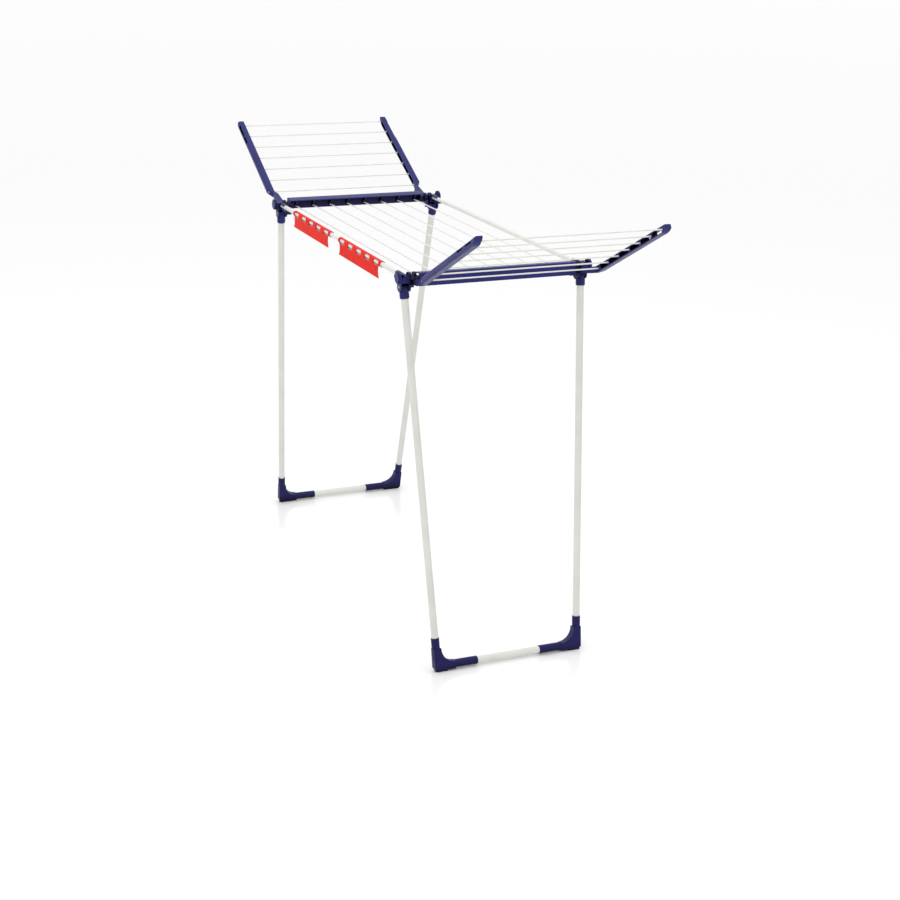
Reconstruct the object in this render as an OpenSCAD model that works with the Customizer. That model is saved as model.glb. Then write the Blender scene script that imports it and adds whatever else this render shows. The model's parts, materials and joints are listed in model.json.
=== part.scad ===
// Winged standing clothes drying rack: a tube frame strung with coated wires, two folding
// wings, two folding U-shaped legs and two sliding hanger holders.
// Millimetres, +Z up. Origin: on the floor, under the middle of the rack.
// +X runs from the left end to the right end, +Y from the front tube to the back tube.

/* [Main frame] */
// Height of the drying wires above the floor
line_z = 954.4; // [850:0.1:1000]
// Spacing between neighbouring main wires
line_pitch = 52.5; // [45:0.5:60]
// Main wires in the frame
main_lines = 8; // [4:1:10]
// Wire thickness over its coating
line_d = 3.4; // [2.5:0.1:5]
// Half the distance between the two side tubes
tube_y = 234; // [200:1:280]
// Height of the side tube axis
tube_z = 963.3; // [860:0.1:1010]
// Side tube diameter
tube_d = 12; // [10:0.5:16]
// Side tube half length
tube_half = 494; // [450:1:560]
// Outer face of the wire bars, from the middle
bar_x = 508; // [460:1:560]
// Depth of a wire bar
bar_w = 32.5; // [25:0.5:40]
// Height of a wire bar
bar_h = 32; // [26:0.5:40]
// Half length of a wire bar
bar_half = 207; // [180:1:230]

/* [Legs] */
// Distance of a leg hinge from the middle
leg_px = 478; // [440:1:520]
// Height of the leg hinge
leg_pz = 940; // [850:0.5:980]
// Outward lean of a standing leg in degrees
leg_splay = 9.55; // [0:0.05:15]
// Inward taper of a leg tube in degrees
leg_taper = 2.625; // [0:0.005:5]
// Half width of a leg frame at its hinge
leg_y = 234.7; // [200:0.1:280]
// Leg tube diameter
leg_d = 18; // [14:0.5:22]
// Height of the bottom crossbar axis above the floor
crossbar_z = 13; // [12:0.1:20]

/* [Wings] */
// Distance of a wing hinge from the middle
wing_px = 484; // [440:1:520]
// Height of the wing hinge
wing_pz = 950; // [850:0.5:980]
// Upward slope of an opened wing in degrees
wing_angle = 27.5; // [0:0.5:60]
// Length of a wing arm from its hinge
wing_len = 451; // [350:1:480]
// Wires across a wing
wing_lines = 7; // [3:1:8]
// Spacing between neighbouring wing wires
wing_pitch = 54.3; // [45:0.1:60]
// Drop of the wing wires below the hinge, square to the wing
wing_drop = 24.6; // [20:0.1:30]
// Inner edge of a wing arm, from the middle
arm_y0 = 221; // [200:0.5:240]
// Outer face of a wing arm, from the middle
arm_y1 = 240; // [215:0.5:260]
// Height of a wing arm section
arm_h = 16; // [12:0.5:22]

/* [Hanger holders] */
// Length of a hanger holder along the tube
holder_len = 305; // [200:1:340]
// Middle of the left holder
holder_left_x = -193.5; // [-260:0.5:-160]
// Middle of the right holder
holder_right_x = 181.5; // [160:0.5:260]
// Height of a holder, clip to bottom edge
holder_h = 44; // [35:0.5:60]
// Openings in a holder
holder_holes = 5; // [3:1:6]

/* [Output] */
// Sub-part to draw

/* [Hidden] */
$fn = 48;
navy = [0.16, 0.17, 0.42];
white = [0.93, 0.93, 0.91];
red = [0.90, 0.18, 0.12];
steel = [0.62, 0.64, 0.66];
eps = 0.01;

wall = 2.6;              // moulded plastic wall
steel_wall = 1.2;        // tube wall
slip = 0.05;             // radial running clearance
pin_r = 3;               // hinge pin radius
bar_z0 = 946;            // bottom edge of a wire bar
bar_z1 = bar_z0 + bar_h;
bar_x0 = bar_x - bar_w;  // inner lip of a wire bar
boss_len = 4;            // wire boss inside a bar
boss_r = 4;
tube_r = tube_d / 2;
leg_r = leg_d / 2;

socket_r = 11;           // leg socket
knuckle_r = 9.5;         // eye of the leg socket, round the hinge pin
knuckle_half = 8;
socket_len = 28;
socket_hole = 13;        // depth of tube hidden above the socket mouth
cap_r = 10.4;            // foot cap sleeve
cap_up = 73;             // foot cap height up the leg
cap_in = 106;            // foot cap reach along the crossbar
cap_half = 9.9;          // foot cap half thickness
gusset_r = 37;           // hollow curve inside the foot corner
crossbar_d = (leg_pz - crossbar_z) / cos(leg_splay);
corner_y = leg_y - crossbar_d * tan(leg_taper);
tube_stop = 15;          // gap between a tube's end and the foot corner
heel_r = 8;              // rounding of the outer corner of a foot cap
heel_len = 30;           // pad under the corner of a foot cap

tongue_y0 = 214;         // wing tongue, between the two prongs
tongue_y1 = 220;
neck_y1 = 226.4;
neck_u = wing_drop / tan(13.7);
wing_line_u0 = 111.7;    // hinge to the nearest wing wire
rib_w = 9;
shoulder_u = 122;        // where the arm reaches its full width
sweep_r = 46;            // curve of the underside near the tip
sweep_len = 31;
grip_u0 = 344;           // finger grip
grip_u1 = 430;
grip_r = 4.8;
wing_wall = 2.8;
wing_line_half = arm_y1 - wing_wall - 0.6;

slot_gap = 0.35;
prong_x0 = 473.5;
prong_x1 = 491;
prong_top = 976.5;
cheek_y0 = 248.5;
cheek_y1 = 254.5;
cheek_r = 15;
cheek_x = 484.5;
cheek_z = 964.5;
lug_r = 12.3;            // lugs either side of the leg knuckle
lug_neck = 6.6;          // reach of a lug's neck on the side the leg folds to
lug_in_y1 = 226.2;
lug_out_y0 = 243.2;
lug_out_y1 = 246.8;
bridge_x0 = 466;         // bridge between the two prongs
bridge_w = 10;
bridge_y1 = 224.4;
swing_r = 13.6;          // kept clear round the leg hinge, beside the knuckle
bridge_z0 = 936.5;
bridge_h = 8;
saddle_z0 = 951.6;
jaw_tip = 424;

clip_r0 = tube_r + 0.1;
clip_wall = 1.7;
clip_r1 = clip_r0 + clip_wall;
hole_w = 36;
hole_h = 12.6;
hole_pitch = 62;
plate_y0 = tube_y + clip_r1 - 0.15;
plate_y1 = plate_y0 - 1.8;
waist_r = 26;            // hollow in each end of a holder's plate
waist_z = 944.7;

// ---- helpers ---------------------------------------------------------------

// Corner pieces are drawn for the right-hand back corner and mirrored to the other three.
module at_end(right, back) {
    mirror([right ? 0 : 1, 0, 0])
        mirror([0, back ? 0 : 1, 0])
            children();
}

// Cylinder along +Y from y0 to y1
module y_rod(x, z, r, y0, y1) {
    translate([x, y0, z])
        rotate([-90, 0, 0])
            cylinder(h = y1 - y0, r = r);
}

// Cylinder along +X from x0 to x1
module x_rod(y, z, r, x0, x1) {
    translate([x0, y, z])
        rotate([0, 90, 0])
            cylinder(h = x1 - x0, r = r);
}

// Outline in X and Z, swept along Y from y0 to y1
module xz_prism(y0, y1) {
    translate([0, y1, 0])
        rotate([90, 0, 0])
            linear_extrude(y1 - y0)
                children();
}

// Outline in Y and Z, swept along X from x0 to x1
module yz_prism(x0, x1) {
    translate([x0, 0, 0])
        rotate([90, 0, 90])
            linear_extrude(x1 - x0)
                children();
}

// ---- main frame ------------------------------------------------------------

module side_tube(back) {
    y = back ? tube_y : -tube_y;
    color(white)
        difference() {
            x_rod(y, tube_z, tube_r, -tube_half, tube_half);
            x_rod(y, tube_z, tube_r - steel_wall, -tube_half - 1, tube_half + 1);
        }
}

// Angle section: tall outer web, and a top flange that falls a little towards its inner edge
module bar_section() {
    fall = 3.5;
    polygon([
        [bar_x, bar_z0], [bar_x, bar_z1 - 3], [bar_x - 3, bar_z1],
        [bar_x - 9, bar_z1], [bar_x0 + 1, bar_z1 - fall], [bar_x0, bar_z1 - fall - 1],
        [bar_x0, bar_z1 - fall - wall], [bar_x - 9, bar_z1 - wall],
        [bar_x - 4, bar_z1 - wall], [bar_x - 3, bar_z1 - wall - 1], [bar_x - 3, bar_z0]
    ]);
}

module line_bar(right) {
    color(navy)
        mirror([right ? 0 : 1, 0, 0])
            difference() {
                union() {
                    xz_prism(-bar_half, bar_half)
                        bar_section();
                    for (i = [0 : main_lines - 1])
                        translate([0, line_y(i), 0]) {
                            x_rod(0, line_z, boss_r, bar_x - 3 - boss_len, bar_x - 2);
                            xz_prism(-1, 1)
                                polygon([[bar_x - 2.5, line_z], [bar_x - 2.5, bar_z1 - 1.5],
                                    [bar_x - 24, bar_z1 - 4], [bar_x - 24, bar_z1 - 6],
                                    [bar_x - 3 - boss_len, line_z + 2]]);
                        }
                }
                for (i = [0 : main_lines - 1])
                    x_rod(line_y(i), line_z, line_d / 2 + slip, bar_x - 30, bar_x - 3);
            }
}

function line_y(i) = (i - (main_lines - 1) / 2) * line_pitch;

module main_line(i) {
    color(white)
        x_rod(line_y(i - 1), line_z, line_d / 2, -(bar_x - 3.1), bar_x - 3.1);
}

// Prong outline: a round-topped upright, cut back on the side that faces the slot
module prong_outline(z0) {
    mid = (prong_x0 + prong_x1) / 2;
    half = (prong_x1 - prong_x0) / 2;
    translate([prong_x0, z0])
        square([prong_x1 - prong_x0, prong_top - half - z0]);
    translate([mid, prong_top - half])
        circle(r = half);
}

module corner_bracket(right, back) {
    inner = bar_half + 0.1;
    slot_y0 = tongue_y0 - slot_gap;
    slot_y1 = tongue_y1 + slot_gap;
    color(navy)
        at_end(right, back)
            difference() {
                union() {
                    // spigot inside the wire bar, and the inner prong with its foot
                    translate([bar_x0 + 5.5, bar_half - 12, line_z - 4])
                        cube([bar_w - 9.5, 12.2, 17]);
                    xz_prism(inner, slot_y0)
                        prong_outline(bar_z0);
                    translate([prong_x0, inner, bar_z0])
                        cube([bar_x - 3 - prong_x0, slot_y0 - inner, 21]);
                    // outer prong beside the tube
                    xz_prism(slot_y1, tube_y - tube_r - 0.2)
                        prong_outline(saddle_z0);
                    // bridge under the wing tongue, behind the wire bar
                    translate([bridge_x0, inner, bridge_z0])
                        cube([bridge_w, bridge_y1 - inner, bridge_h]);
                    translate([prong_x0 - 8, inner, bridge_z0 + 3])
                        cube([12, slot_y0 - inner, 18]);
                    // saddle under the side tube, with its lower jaw
                    translate([prong_x0 - 8, slot_y1, saddle_z0])
                        cube([prong_x1 - prong_x0 + 9, lug_out_y1 - slot_y1, 8]);
                    translate([jaw_tip + 4, tube_y - 5, saddle_z0 + 0.4])
                        cube([prong_x0 - jaw_tip - 4, 10, 7]);
                    y_rod(jaw_tip + 4, saddle_z0 + 3.9, 3.5, tube_y - 5, tube_y + 5);
                    // upper jaw over the tube
                    difference() {
                        x_rod(tube_y, tube_z, tube_r + 2, 436, prong_x1);
                        translate([430, tube_y - 10, tube_z - 12])
                            cube([70, 20, 15]);
                    }
                    translate([prong_x0, tube_y - tube_r - 2, tube_z - 6])
                        cube([prong_x1 - prong_x0 - 1, 4, 9]);
                    // wall outside the tube, and the round cheek on it
                    translate([prong_x0 - 6, tube_y + tube_r - 1, saddle_z0])
                        cube([18, cheek_y0 - tube_y - tube_r + 2, 20]);
                    y_rod(cheek_x, cheek_z, cheek_r, cheek_y0, cheek_y1);
                    y_rod(cheek_x, cheek_z, cheek_r - 2, cheek_y1 - eps, cheek_y1 + 1.4);
                    // cover over the open end of the tube
                    yz_prism(tube_half + 0.4, tube_half + 3)
                        end_cover_outline();
                    translate([prong_x1, slot_y1 + 6, saddle_z0])
                        cube([tube_half + 1 - prong_x1, lug_out_y1 - slot_y1 - 6, 5]);
                    // leg hinge lugs
                    xz_prism(slot_y1, lug_in_y1)
                        hinge_lug_outline();
                    xz_prism(lug_out_y0, lug_out_y1)
                        hinge_lug_outline();
                }
                // tube bore, hinge bores and the tongue's slot
                x_rod(tube_y, tube_z, tube_r + slip, 400, tube_half + 0.4);
                y_rod(leg_px, leg_pz, pin_r + slip, 200, 262);
                y_rod(wing_px, wing_pz, pin_r + slip, 200, tube_y - tube_r + 2);
                translate([440, slot_y0, bridge_z0 + bridge_h])
                    cube([90, slot_y1 - slot_y0, 60]);
                // room for the leg socket's knuckle
                y_rod(leg_px, leg_pz, knuckle_r + 0.4, lug_in_y1, lug_out_y0);
            }
}

// Cover over the end of a side tube, reaching the saddle and the cheek
module end_cover_outline() {
    translate([tube_y, tube_z])
        circle(r = tube_r + 2.2);
    translate([tube_y - tube_r, saddle_z0 + 0.5])
        square([cheek_y0 + 1 - tube_y + tube_r, tube_z - saddle_z0 + 3]);
}

// Round lug hanging from the saddle, level with the leg hinge
module hinge_lug_outline() {
    translate([leg_px, leg_pz])
        circle(r = lug_r);
    translate([leg_px - lug_neck, leg_pz])
        square([lug_neck + lug_r, saddle_z0 - leg_pz + 1]);
}

module leg_hinge_pins() {
    color(steel)
        for (right = [false, true], back = [false, true])
            at_end(right, back)
                y_rod(leg_px, leg_pz, pin_r, tongue_y1 + slot_gap, lug_out_y1);
}

module wing_hinge_pins() {
    color(steel)
        for (right = [false, true], back = [false, true])
            at_end(right, back)
                y_rod(wing_px, wing_pz, pin_r, bar_half + 0.1, tongue_y1 + 2.6);
}

// ---- legs ------------------------------------------------------------------

// The leg frame is drawn upright, hanging from its hinge, then leaned outward.
module leg_place() {
    translate([leg_px, 0, leg_pz])
        rotate([0, -leg_splay, 0])
            children();
}

// Cylinder along one side of a leg frame, from z0 to z1 below the hinge
module leg_rod(r, z0, z1) {
    translate([0, leg_y, 0])
        rotate([-leg_taper, 0, 0])
            translate([0, 0, z0])
                cylinder(h = z1 - z0, r = r);
}

module leg_tube(right, back) {
    foot = -crossbar_d / cos(leg_taper) + tube_stop;
    color(white)
        at_end(right, back)
            leg_place()
                difference() {
                    leg_rod(leg_r, foot, -socket_hole);
                    leg_rod(leg_r - steel_wall, foot - 1, -socket_hole + 1);
                }
}

module crossbar(right) {
    half = corner_y - tube_stop;
    color(white)
        mirror([right ? 0 : 1, 0, 0])
            leg_place()
                difference() {
                    y_rod(0, -crossbar_d, leg_r, -half, half);
                    y_rod(0, -crossbar_d, leg_r - steel_wall, -half - 1, half + 1);
                }
}

module leg_socket(right, back) {
    color(navy)
        at_end(right, back)
            leg_place()
                difference() {
                    union() {
                        y_rod(0, 0, knuckle_r, leg_y - knuckle_half, leg_y + knuckle_half);
                        leg_rod(socket_r, -socket_len, -2);
                        translate([0, leg_y, 0])
                            rotate([-leg_taper, 0, 0])
                                for (a = [22.5 : 45 : 337.5])
                                    rotate([0, 0, a])
                                        translate([socket_r - 0.9, 0, 2 - socket_len])
                                            cylinder(h = socket_len - 14.5, r = 1.5);
                    }
                    leg_rod(leg_r + slip, -socket_len - 5, -socket_hole + 0.3);
                    y_rod(0, 0, pin_r + slip, leg_y - 20, leg_y + 20);
                    // room for the bracket's lugs
                    y_rod(0, 0, swing_r, leg_y - 20, leg_y - knuckle_half);
                    y_rod(0, 0, swing_r, leg_y + knuckle_half, leg_y + 20);
                }
}

// Outline of a foot cap seen along X: an L with a hollow inner curve and a round heel
module foot_outline() {
    z = -crossbar_d;
    top = leg_r + gusset_r;
    in_y = corner_y - top;
    lean = top * tan(leg_taper);
    difference() {
        polygon([
            [in_y, z - cap_half], [corner_y + cap_half - heel_r, z - cap_half],
            [corner_y + cap_half, z - cap_half + heel_r],
            [corner_y + cap_half - 1 + lean, z + top], [in_y, z + top]
        ]);
        translate([in_y, z + top])
            circle(r = gusset_r);
    }
    translate([corner_y + cap_half - heel_r, z - cap_half + heel_r])
        circle(r = heel_r);
}

module foot_cap(right, back) {
    foot = -crossbar_d / cos(leg_taper);
    color(navy)
        at_end(right, back)
            difference() {
                leg_place()
                    difference() {
                        union() {
                            leg_rod(cap_r, foot + tube_stop, foot + cap_up);
                            y_rod(0, -crossbar_d, cap_r, corner_y - cap_in, corner_y - tube_stop);
                            yz_prism(-cap_half, cap_half)
                                foot_outline();
                            translate([-8, corner_y + 6 - heel_len, -crossbar_d - cap_r - 3])
                                cube([16, heel_len, 8]);
                        }
                        leg_rod(leg_r + slip, foot + tube_stop - 0.3, foot + cap_up + 1);
                        y_rod(0, -crossbar_d, leg_r + slip, corner_y - cap_in - 1,
                            corner_y - tube_stop + 0.3);
                    }
                translate([300, 0, -60])
                    cube([600, 400, 60]);
            }
}

// ---- wings -----------------------------------------------------------------

// A wing is drawn in its own plane: X away from the hinge, Z square to the wing.
module wing_place() {
    translate([wing_px, 0, wing_pz])
        rotate([0, -wing_angle, 0])
            children();
}

function wing_u(i) = wing_line_u0 + (i - 1) * wing_pitch;

// Arm section: a channel open to the inside with a rounded outer back
module arm_section() {
    top = arm_h / 2 - wing_drop;
    bottom = -arm_h / 2 - wing_drop;
    r = 5;
    translate([arm_y0, bottom])
        square([arm_y1 - arm_y0 - r, arm_h]);
    translate([arm_y1 - r - eps, bottom + r])
        square([r + eps, arm_h - 2 * r]);
    for (z = [bottom + r, top - r])
        translate([arm_y1 - r, z])
            circle(r = r);
}

module wing_arm(right, back) {
    color(navy)
        at_end(right, back)
            wing_place()
                difference() {
                    union() {
                        y_rod(0, 0, 8, tongue_y0, tongue_y1);
                        intersection() {
                            xz_prism(tongue_y0, neck_y1)
                                neck_side();
                            translate([0, 0, -60])
                                linear_extrude(90)
                                    arm_plan();
                        }
                        intersection() {
                            yz_prism(neck_u - 3, wing_len + 2)
                                arm_section();
                            xz_prism(arm_y0 - 2, arm_y1 + 2)
                                arm_side();
                            translate([0, 0, -60])
                                linear_extrude(90)
                                    arm_plan();
                        }
                    }
                    y_rod(0, 0, pin_r + slip, tongue_y0 - 1, tongue_y1 + 1);
                    // pockets between the wire ribs
                    for (i = [1 : wing_lines - 1])
                        translate([pocket_u(i), arm_y0 - 5, -arm_h / 2 - wing_drop + wall])
                            cube([pocket_len(i), arm_y1 - arm_y0 + 5 - wing_wall, arm_h - 2 * wall]);
                    for (i = [1 : wing_lines])
                        y_rod(wing_u(i), -wing_drop, line_d / 2 + slip, arm_y0 - 9, wing_line_half + 0.1);
                    grip_slot();
                }
}

function pocket_u(i) = i == 1 ? shoulder_u + 2 : wing_u(i) + rib_w / 2;
function pocket_len(i) = wing_u(i + 1) - rib_w / 2 - pocket_u(i);

// Finger grip near the tip: a long round-ended slot through the upper part of the outer web
module grip_slot() {
    z = arm_h / 2 - wing_drop - 3.2;
    y0 = arm_y1 - wing_wall - 1;
    for (u = [grip_u0 + grip_r, grip_u1 - grip_r])
        y_rod(u, z, grip_r, y0, arm_y1 + 2);
    translate([grip_u0 + grip_r, y0, z - grip_r])
        cube([grip_u1 - grip_u0 - 2 * grip_r, wing_wall + 3, 2 * grip_r]);
}

// Neck seen from the side: from the hinge down to the level of the wing wires
module neck_side() {
    half = arm_h / 2;
    polygon([
        [0, 6.4], [neck_u, half - wing_drop], [neck_u + 4, half - wing_drop],
        [neck_u + 4, -half - wing_drop], [neck_u, -half - wing_drop],
        [neck_u - 12, -half - wing_drop + 2.6], [0, -6.4]
    ]);
}

// Arm seen from the side: straight on top, the underside sweeping up to the tip
module arm_side() {
    bottom = -arm_h / 2 - wing_drop;
    intersection() {
        translate([neck_u - 5, bottom])
            square([wing_len - neck_u + 6, arm_h]);
        union() {
            translate([neck_u - 6, bottom - 1])
                square([wing_len - sweep_len - neck_u + 6, arm_h + 2]);
            translate([wing_len - sweep_len, bottom + sweep_r])
                circle(r = sweep_r, $fn = 96);
        }
    }
}

// Arm seen from above: the tongue, the neck, the shoulder and the rounded outer corner
module arm_plan() {
    r = 9;
    out = arm_y1 + 1;
    in = arm_y0 - 1;
    polygon([
        [-1, tongue_y0 - 1], [neck_u - 14, tongue_y0 - 1], [neck_u + 2, in],
        [wing_len, in], [wing_len, out - r], [wing_len - r, out],
        [shoulder_u, out], [neck_u - 4, neck_y1 - 0.6], [46, neck_y1 - 0.6],
        [36, tongue_y1], [-1, tongue_y1]
    ]);
    translate([wing_len - r, out - r])
        circle(r = r);
}

module wing_line(right, i) {
    color(white)
        mirror([right ? 0 : 1, 0, 0])
            wing_place()
                y_rod(wing_u(i), -wing_drop, line_d / 2, -wing_line_half, wing_line_half);
}

// ---- hanger holders --------------------------------------------------------

// Plate below the clip: waisted ends and slightly spread bottom corners
module holder_plate_outline() {
    half = holder_len / 2 - 9;
    z0 = tube_z + clip_r1 - holder_h;
    difference() {
        translate([-half, z0])
            square([2 * half, tube_z - z0]);
        for (s = [-1, 1])
            translate([s * (half + waist_r - 5), waist_z])
                circle(r = waist_r);
    }
}

// Drawn on the front tube. The plate hangs outside the room the folded legs need.
module hanger_holder(mid) {
    lip_z = tube_z + clip_r1 - holder_h + 1.6;
    lip_half = holder_len / 2 - 11;
    color(red)
        translate([mid, 0, 0])
            difference() {
                union() {
                    difference() {
                        x_rod(-tube_y, tube_z, clip_r1, -holder_len / 2, holder_len / 2);
                        translate([-holder_len, -tube_y + 1.5, tube_z - 20])
                            cube([2 * holder_len, 30, 23]);
                    }
                    xz_prism(-plate_y0, -plate_y1)
                        holder_plate_outline();
                    x_rod(-plate_y0 + 0.7, lip_z, 1.1, -lip_half, lip_half);
                }
                x_rod(-tube_y, tube_z, clip_r0, -holder_len, holder_len);
                for (i = [0 : holder_holes - 1])
                    translate([(i - (holder_holes - 1) / 2) * hole_pitch, 0, 0])
                        hook_opening();
            }
}

// Long round-ended opening through the outer wall of the clip
module hook_opening() {
    y0 = -tube_y - clip_r1 - 2;
    y1 = -tube_y - 3;
    reach = (hole_w - hole_h) / 2;
    for (s = [-1, 1])
        y_rod(s * reach, tube_z, hole_h / 2, y0, y1);
    translate([-reach, y0, tube_z - hole_h / 2])
        cube([2 * reach, y1 - y0, hole_h]);
}

// ---- assembly --------------------------------------------------------------

side_tube(false);  // side_tube_front
side_tube(true);  // side_tube_back
line_bar(false);  // line_bar_left
line_bar(true);  // line_bar_right
corner_bracket(false, false);  // corner_bracket_left_front
corner_bracket(false, true);  // corner_bracket_left_back
corner_bracket(true, false);  // corner_bracket_right_front
corner_bracket(true, true);  // corner_bracket_right_back
leg_hinge_pins();
wing_hinge_pins();
main_line(1);  // main_line_1
main_line(2);  // main_line_2
main_line(3);  // main_line_3
main_line(4);  // main_line_4
main_line(5);  // main_line_5
main_line(6);  // main_line_6
main_line(7);  // main_line_7
main_line(8);  // main_line_8
leg_tube(false, false);  // leg_tube_left_front
leg_tube(false, true);  // leg_tube_left_back
crossbar(false);  // crossbar_left
leg_socket(false, false);  // leg_socket_left_front
leg_socket(false, true);  // leg_socket_left_back
foot_cap(false, false);  // foot_cap_left_front
foot_cap(false, true);  // foot_cap_left_back
leg_tube(true, false);  // leg_tube_right_front
leg_tube(true, true);  // leg_tube_right_back
crossbar(true);  // crossbar_right
leg_socket(true, false);  // leg_socket_right_front
leg_socket(true, true);  // leg_socket_right_back
foot_cap(true, false);  // foot_cap_right_front
foot_cap(true, true);  // foot_cap_right_back
wing_arm(false, false);  // wing_arm_left_front
wing_arm(false, true);  // wing_arm_left_back
wing_line(false, 1);  // wing_left_line_1
wing_line(false, 2);  // wing_left_line_2
wing_line(false, 3);  // wing_left_line_3
wing_line(false, 4);  // wing_left_line_4
wing_line(false, 5);  // wing_left_line_5
wing_line(false, 6);  // wing_left_line_6
wing_line(false, 7);  // wing_left_line_7
wing_arm(true, false);  // wing_arm_right_front
wing_arm(true, true);  // wing_arm_right_back
wing_line(true, 1);  // wing_right_line_1
wing_line(true, 2);  // wing_right_line_2
wing_line(true, 3);  // wing_right_line_3
wing_line(true, 4);  // wing_right_line_4
wing_line(true, 5);  // wing_right_line_5
wing_line(true, 6);  // wing_right_line_6
wing_line(true, 7);  // wing_right_line_7
hanger_holder(holder_left_x);  // hanger_holder_left
hanger_holder(holder_right_x);  // hanger_holder_right
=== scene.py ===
"""Clothes drying rack with folding wings: materials, camera and studio round the CAD frame."""

import json
import math

import bpy
from mathutils import Matrix, Vector

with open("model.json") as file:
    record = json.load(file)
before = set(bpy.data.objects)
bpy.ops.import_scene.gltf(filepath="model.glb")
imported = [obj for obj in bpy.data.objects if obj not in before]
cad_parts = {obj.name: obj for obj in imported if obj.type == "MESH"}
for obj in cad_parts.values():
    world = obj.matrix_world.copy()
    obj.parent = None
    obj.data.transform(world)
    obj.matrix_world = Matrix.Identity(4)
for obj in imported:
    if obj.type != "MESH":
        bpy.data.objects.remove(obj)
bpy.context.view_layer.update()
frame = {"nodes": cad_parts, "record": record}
nodes = frame["nodes"]

# ---- camera ----------------------------------------------------------------

AZIMUTH = math.radians(66.6)
ELEVATION = math.radians(18.71)
ROLL = math.radians(1.43)
TARGET = Vector((-0.041, 0.120, 0.326))
DISTANCE = 4.801
LENS_MM = 67.9
SENSOR_MM = 36.0


def make_camera():
    """A camera at the product shot's angle: raised, looking along the rack from its right end."""
    back = Vector((
        math.sin(AZIMUTH) * math.cos(ELEVATION),
        -math.cos(AZIMUTH) * math.cos(ELEVATION),
        math.sin(ELEVATION),
    ))
    right = Vector((math.cos(AZIMUTH), math.sin(AZIMUTH), 0.0))
    up = back.cross(right)
    rolled_right = right * math.cos(ROLL) + up * math.sin(ROLL)
    rolled_up = back.cross(rolled_right)
    data = bpy.data.cameras.new("camera")
    data.lens = LENS_MM
    data.sensor_width = SENSOR_MM
    data.clip_start = 0.05
    data.clip_end = 60.0
    camera = bpy.data.objects.new("camera", data)
    bpy.context.scene.collection.objects.link(camera)
    rotation = Matrix((rolled_right, rolled_up, back)).transposed()
    camera.matrix_world = Matrix.Translation(TARGET + back * DISTANCE) @ rotation.to_4x4()
    bpy.context.scene.camera = camera


make_camera()

# ---- materials -------------------------------------------------------------

NOISE_LOW, NOISE_HIGH = 0.3, 0.7          # noise mostly lies between these
# painted shade in hollows: full depth below SHADED_BELOW, none above OPEN_ABOVE
SHADED_BELOW, OPEN_ABOVE = 0.50, 0.96     # openness of a hollow, from the occlusion node


def new_material(name):
    """A material with a bare principled shader, its node tree and that shader."""
    material = bpy.data.materials.new(name)
    material.use_nodes = True
    tree = material.node_tree
    tree.nodes.clear()
    output = tree.nodes.new("ShaderNodeOutputMaterial")
    shader = tree.nodes.new("ShaderNodeBsdfPrincipled")
    tree.links.new(shader.outputs["BSDF"], output.inputs["Surface"])
    return material, tree, shader


def noise(tree, scale, detail, stretch=(1.0, 1.0, 1.0)):
    """Noise in object space, so the grain keeps its real size; stretch lengthens it along an axis."""
    place = tree.nodes.new("ShaderNodeTexCoord")
    mapping = tree.nodes.new("ShaderNodeMapping")
    mapping.inputs["Scale"].default_value = stretch
    tree.links.new(place.outputs["Object"], mapping.inputs["Vector"])
    texture = tree.nodes.new("ShaderNodeTexNoise")
    texture.inputs["Scale"].default_value = scale
    texture.inputs["Detail"].default_value = detail
    tree.links.new(mapping.outputs["Vector"], texture.inputs["Vector"])
    return texture.outputs["Fac"]


def ramp(tree, source, stops):
    """Colour ramp over source; stops are (position, colour)."""
    node = tree.nodes.new("ShaderNodeValToRGB")
    elements = node.color_ramp.elements
    while len(elements) < len(stops):
        elements.new(0.5)
    for element, (position, colour) in zip(elements, stops):
        element.position = position
        element.color = (*colour, 1.0)
    tree.links.new(source, node.inputs["Fac"])
    return node.outputs["Color"]


def blend(tree, source, dark, light):
    """dark to light over the span of a noise"""
    return ramp(tree, source, [(NOISE_LOW, dark), (NOISE_HIGH, light)])


def value_range(tree, source, low, high):
    """low to high over the span of a noise"""
    node = tree.nodes.new("ShaderNodeMapRange")
    node.inputs["From Min"].default_value = NOISE_LOW
    node.inputs["From Max"].default_value = NOISE_HIGH
    node.inputs["To Min"].default_value = low
    node.inputs["To Max"].default_value = high
    tree.links.new(source, node.inputs["Value"])
    return node.outputs["Result"]


def bump(tree, shader, heights):
    """Chains bump nodes; heights are (source, depth in metres)."""
    normal = None
    for source, depth in heights:
        node = tree.nodes.new("ShaderNodeBump")
        node.inputs["Strength"].default_value = 1.0
        node.inputs["Distance"].default_value = depth
        tree.links.new(source, node.inputs["Height"])
        if normal is not None:
            tree.links.new(normal, node.inputs["Normal"])
        normal = node.outputs["Normal"]
    tree.links.new(normal, shader.inputs["Normal"])


def painted_shade_in_hollows(tree, colour, reach, depth):
    """colour with painted shade: darkened inside narrow hollows closer than reach, down to depth of
    itself
    """
    hollow = tree.nodes.new("ShaderNodeAmbientOcclusion")
    hollow.samples = 8
    hollow.inputs["Distance"].default_value = reach
    shade = ramp(
        tree, hollow.outputs["AO"], [(SHADED_BELOW, (depth,) * 3), (OPEN_ABOVE, (1.0,) * 3)]
    )
    mix = tree.nodes.new("ShaderNodeMix")
    mix.data_type = "RGBA"
    mix.blend_type = "MULTIPLY"
    mix.inputs["Factor"].default_value = 1.0
    first, second = (socket for socket in mix.inputs if socket.type == "RGBA")
    tree.links.new(colour, first)
    tree.links.new(shade, second)
    return next(socket for socket in mix.outputs if socket.type == "RGBA")


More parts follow.
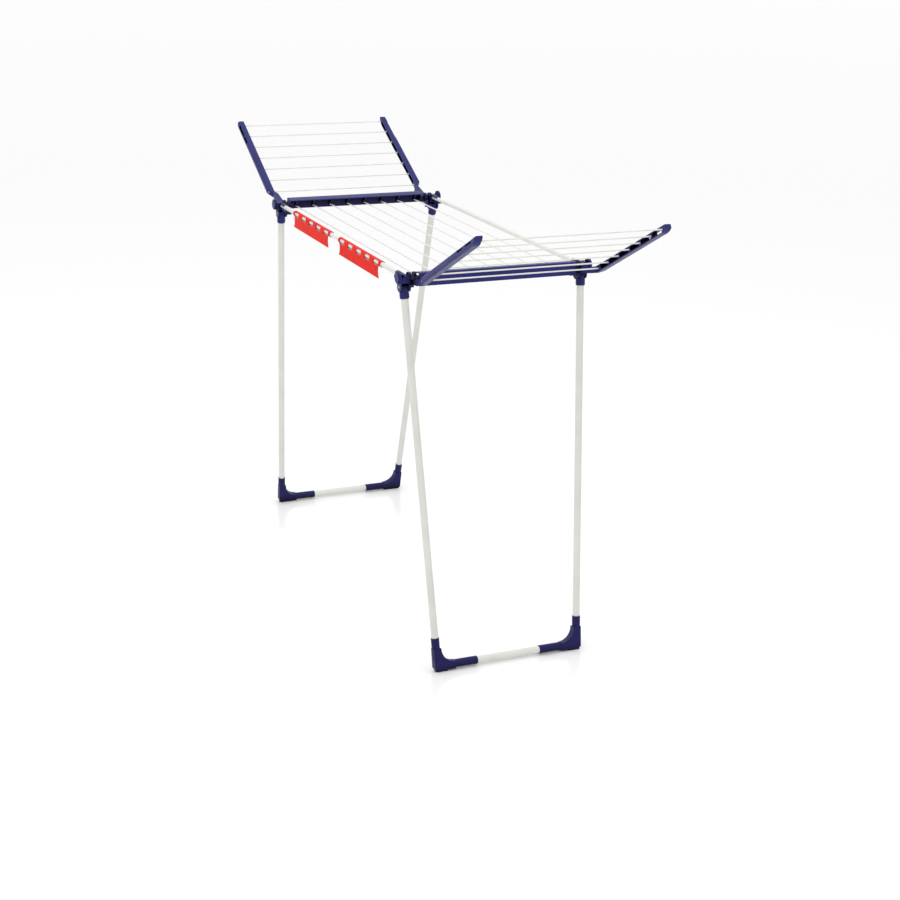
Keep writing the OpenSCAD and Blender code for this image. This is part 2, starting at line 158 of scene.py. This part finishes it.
def moulded_plastic(name, dark, light, roughness, specular, hollow, grain_depth):
    """Injection-moulded plastic: soft flow marks, fine grain, slightly uneven gloss and painted shade
    darkening its hollows.

    roughness is a low and a high; hollow is the reach in metres and the depth of the painted shade in
    hollows.
    """
    material, tree, shader = new_material(name)
    shader.inputs["Specular IOR Level"].default_value = specular
    flow = noise(tree, 9.0, 3.0, (1.0, 1.0, 2.5))
    grain = noise(tree, 1600.0, 2.0)
    scuffs = noise(tree, 70.0, 6.0)
    # painted shade: the base colour is darkened in hollows by the occlusion node
    colour = painted_shade_in_hollows(tree, blend(tree, flow, dark, light), *hollow)
    tree.links.new(colour, shader.inputs["Base Color"])
    tree.links.new(value_range(tree, scuffs, *roughness), shader.inputs["Roughness"])
    bump(tree, shader, [(flow, 0.0004), (grain, grain_depth)])
    return material


def powder_coat(name, dark, light, roughness):
    """Sprayed coating on a drawn tube: faint orange peel and a little unevenness along the tube."""
    material, tree, shader = new_material(name)
    tone = noise(tree, 14.0, 4.0)
    peel = noise(tree, 420.0, 2.0)
    dust = noise(tree, 120.0, 5.0)
    tree.links.new(blend(tree, tone, dark, light), shader.inputs["Base Color"])
    tree.links.new(value_range(tree, dust, *roughness), shader.inputs["Roughness"])
    shader.inputs["Coat Weight"].default_value = 0.25
    shader.inputs["Coat Roughness"].default_value = 0.2
    bump(tree, shader, [(peel, 0.00006)])
    return material


def coated_wire():
    """Smooth plastic coating on a wire."""
    material, tree, shader = new_material("coated_wire")
    tone = noise(tree, 25.0, 3.0)
    skin = noise(tree, 900.0, 2.0)
    colour = blend(tree, tone, (0.68, 0.68, 0.64), (0.76, 0.76, 0.72))
    tree.links.new(colour, shader.inputs["Base Color"])
    tree.links.new(value_range(tree, skin, 0.28, 0.42), shader.inputs["Roughness"])
    bump(tree, shader, [(skin, 0.00003)])
    return material


def turned_steel():
    """Plain steel with faint rings from turning."""
    material, tree, shader = new_material("turned_steel")
    rings = noise(tree, 300.0, 3.0, (0.3, 12.0, 0.3))
    colour = blend(tree, rings, (0.42, 0.43, 0.45), (0.62, 0.63, 0.64))
    tree.links.new(colour, shader.inputs["Base Color"])
    tree.links.new(value_range(tree, rings, 0.25, 0.4), shader.inputs["Roughness"])
    shader.inputs["Metallic"].default_value = 1.0
    bump(tree, shader, [(rings, 0.00002)])
    return material


# in each plastic, the pair after the specular level is the reach and depth of its painted shade in
# hollows
MATERIALS = {
    "navy_plastic": moulded_plastic(
        "navy_plastic", (0.018, 0.020, 0.118), (0.026, 0.028, 0.152), (0.26, 0.40), 0.12,
        (0.07, 0.04), 0.00003
    ),
    "foot_plastic": moulded_plastic(
        "foot_plastic", (0.008, 0.008, 0.070), (0.013, 0.013, 0.095), (0.34, 0.48), 0.16,
        (0.03, 0.2), 0.00004
    ),
    "red_plastic": moulded_plastic(
        "red_plastic", (0.70, 0.014, 0.006), (0.80, 0.020, 0.009), (0.34, 0.46), 0.04,
        (0.012, 0.5), 0.00002
    ),
    "frame_tube": powder_coat("frame_coat", (0.64, 0.64, 0.61), (0.71, 0.71, 0.68), (0.26, 0.40)),
    "leg_tube": powder_coat("leg_coat", (0.63, 0.63, 0.59), (0.70, 0.70, 0.66), (0.28, 0.44)),
    "drying_wire": coated_wire(),
    "pin_steel": turned_steel(),
}


# Edge rounding of the moulded pieces, in metres
EDGE_WIDTH = {"navy_plastic": 0.0006, "foot_plastic": 0.0010, "red_plastic": 0.0004}
SHARP_ANGLE = math.radians(35.0)
WELD_DISTANCE = 1e-6


def soften_edges(item, width):
    """Rounds the sharp edges of a moulded piece."""
    weld = item.modifiers.new("weld", "WELD")
    weld.merge_threshold = WELD_DISTANCE
    bevel = item.modifiers.new("edges", "BEVEL")
    bevel.width = width
    bevel.segments = 2
    bevel.limit_method = "ANGLE"
    bevel.angle_limit = SHARP_ANGLE
    bevel.use_clamp_overlap = True
    smooth = item.modifiers.new("normals", "WEIGHTED_NORMAL")
    smooth.keep_sharp = False
    for face in item.data.polygons:
        face.use_smooth = True


def dress_nodes():
    """Gives every CAD node its slot's material, and moulded ones their rounded edges."""
    for entry in frame["record"]["subparts"]:
        item = nodes[entry["node"]]
        slot = entry["material_slot"]
        item.data.materials.clear()
        item.data.materials.append(MATERIALS[slot])
        if slot in EDGE_WIDTH:
            soften_edges(item, EDGE_WIDTH[slot])


dress_nodes()

# ---- studio ----------------------------------------------------------------

FLOOR_HALF = 30.0

def make_floor():
    """A pale floor with a faint sheen, wide enough to fill every view."""
    mesh = bpy.data.meshes.new("floor")
    signs = ((-1, -1), (1, -1), (1, 1), (-1, 1))
    corners = [(x * FLOOR_HALF, y * FLOOR_HALF, 0.0) for x, y in signs]
    mesh.from_pydata(corners, [], [(0, 1, 2, 3)])
    floor = bpy.data.objects.new("floor", mesh)
    bpy.context.scene.collection.objects.link(floor)
    material, tree, shader = new_material("pale_floor")
    shader.inputs["Base Color"].default_value = (0.93, 0.93, 0.93, 1.0)
    shader.inputs["Roughness"].default_value = 0.16
    mesh.materials.append(material)


def area_light(name, place, aim, size, power):
    """A rectangular lamp at place, facing aim; size in metres, power in watts."""
    data = bpy.data.lights.new(name, "AREA")
    data.shape = "RECTANGLE"
    data.size, data.size_y = size
    data.energy = power
    light = bpy.data.objects.new(name, data)
    bpy.context.scene.collection.objects.link(light)
    light.location = place
    light.rotation_euler = (Vector(aim) - Vector(place)).to_track_quat("-Z", "Y").to_euler()


def make_lights():
    """An even white surround with a soft key from the front right and a soft light from above."""
    world = bpy.data.worlds.new("studio")
    world.use_nodes = True
    background = world.node_tree.nodes["Background"]
    background.inputs["Color"].default_value = (1.0, 1.0, 1.0, 1.0)
    background.inputs["Strength"].default_value = 1.0
    bpy.context.scene.world = world
    bpy.context.scene.view_settings.view_transform = "Standard"
    area_light("key", (2.4, -2.8, 3.2), (0.0, 0.0, 0.7), (2.4, 1.6), 26.0)
    area_light("top", (-0.4, 0.4, 3.6), (0.0, 0.0, 0.8), (3.0, 2.0), 22.0)


make_floor()
make_lights()
